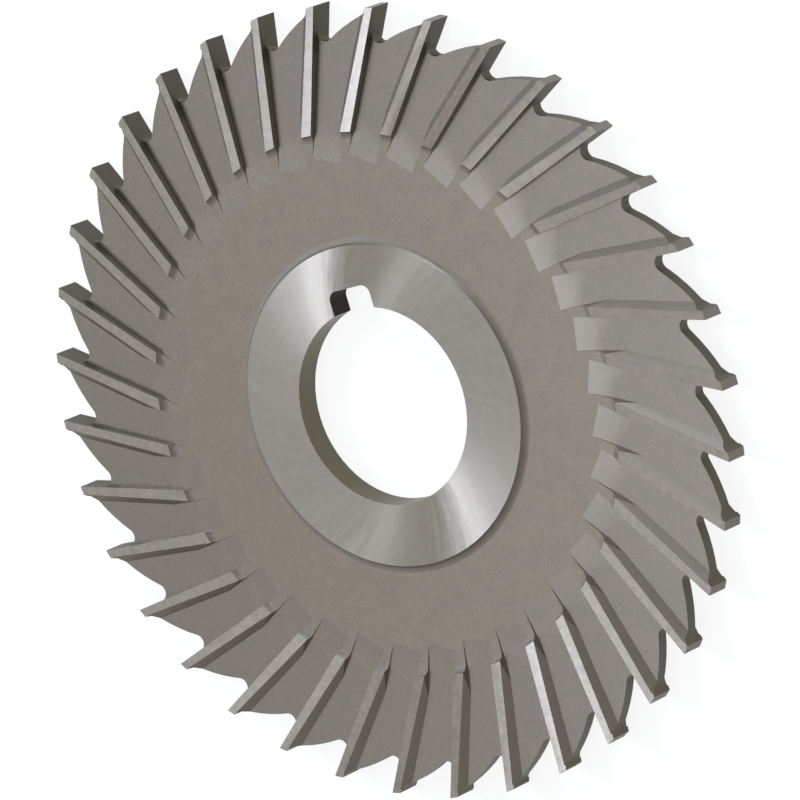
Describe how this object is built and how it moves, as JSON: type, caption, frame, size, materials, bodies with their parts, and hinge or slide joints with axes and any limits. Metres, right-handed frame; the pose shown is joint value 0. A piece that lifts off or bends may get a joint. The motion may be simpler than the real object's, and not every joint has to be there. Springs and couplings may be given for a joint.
{
  "type": "side milling cutter",
  "caption": "Thin side milling cutter disc for a keyed arbor, with raked cutting teeth around the rim and on both faces, a recessed web and a raised hub ring",
  "frame": {"origin": "centre of the bore in the plane that the cutter rests on, at the bottom of its lower hub face", "axes": "+Z is the bore axis and the thin direction, +Y runs from the bore axis through the middle of the keyway, +X completes the right-handed set; seen from above the teeth face clockwise"},
  "size_m": [0.1016, 0.1016, 0.0036],
  "materials": {
    "high_speed_steel": "milled and ground tool steel, satin grey, with a finely scratched ground hub and lands"
  },
  "bodies": {
    "root": {"side_milling_cutter": "high_speed_steel"}
  },
  "joints": []
}
